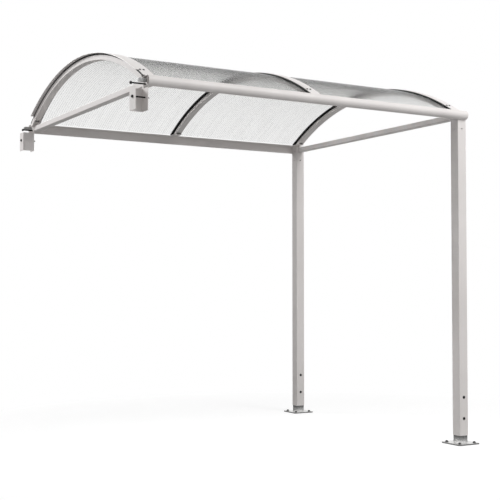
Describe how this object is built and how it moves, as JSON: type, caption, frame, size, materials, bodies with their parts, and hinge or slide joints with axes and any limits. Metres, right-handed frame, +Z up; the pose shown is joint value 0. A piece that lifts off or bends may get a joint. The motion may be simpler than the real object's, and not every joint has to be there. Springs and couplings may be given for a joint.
{
  "type": "bike shelter extension bay",
  "caption": "Extension bay of a bike shelter: vaulted translucent roof on bent arches, posts on base plates at one end and coupling brackets at the other.",
  "frame": {"origin": "centre of the underside of the front post's base plate", "axes": "+X along the bay from the coupling brackets towards the posts, +Y from the front row to the back row, +Z up"},
  "size_m": [2.742, 2.375, 2.769],
  "materials": {
    "coated_steel": "light grey powder coat, satin",
    "coated_strip": "light grey powder coat on a bent flat strip",
    "galvanised_steel": "hot-dip galvanised, faint spangle",
    "black_bolt": "black coated bolts",
    "rubber_seal": "black rubber, matt",
    "roof_sheet": "translucent twin-wall polycarbonate"
  },
  "bodies": {
    "root": {"back_beam": "coated_steel", "back_bracket": "coated_steel", "back_clamp_bolt": "black_bolt", "back_coupling_bolt": "black_bolt", "back_foot": "galvanised_steel", "back_post": "coated_steel", "back_post_head": "coated_steel", "back_splice": "galvanised_steel", "front_beam": "coated_steel", "front_bracket": "coated_steel", "front_clamp_bolt": "black_bolt", "front_coupling_bolt": "black_bolt", "front_foot": "galvanised_steel", "front_post": "coated_steel", "front_post_head": "coated_steel", "front_splice": "galvanised_steel", "left_arch": "coated_steel", "left_back_shoe": "coated_steel", "left_cover_strip": "coated_strip", "left_edge_seal": "rubber_seal", "left_edge_trim": "roof_sheet", "left_front_shoe": "coated_steel", "left_lower_seal": "rubber_seal", "left_sheet": "roof_sheet", "left_tie": "coated_steel", "left_upper_seal": "rubber_seal", "middle_arch": "coated_steel", "middle_back_shoe": "coated_steel", "middle_cover_strip": "coated_strip", "middle_front_shoe": "coated_steel", "middle_lower_seal": "rubber_seal", "middle_upper_seal_left": "rubber_seal", "middle_upper_seal_right": "rubber_seal", "right_arch": "coated_steel", "right_back_shoe": "coated_steel", "right_cover_strip": "coated_strip", "right_edge_seal": "rubber_seal", "right_edge_trim": "roof_sheet", "right_front_shoe": "coated_steel", "right_lower_seal": "rubber_seal", "right_sheet": "roof_sheet", "right_tie": "coated_steel", "right_upper_seal": "rubber_seal"}
  },
  "joints": []
}
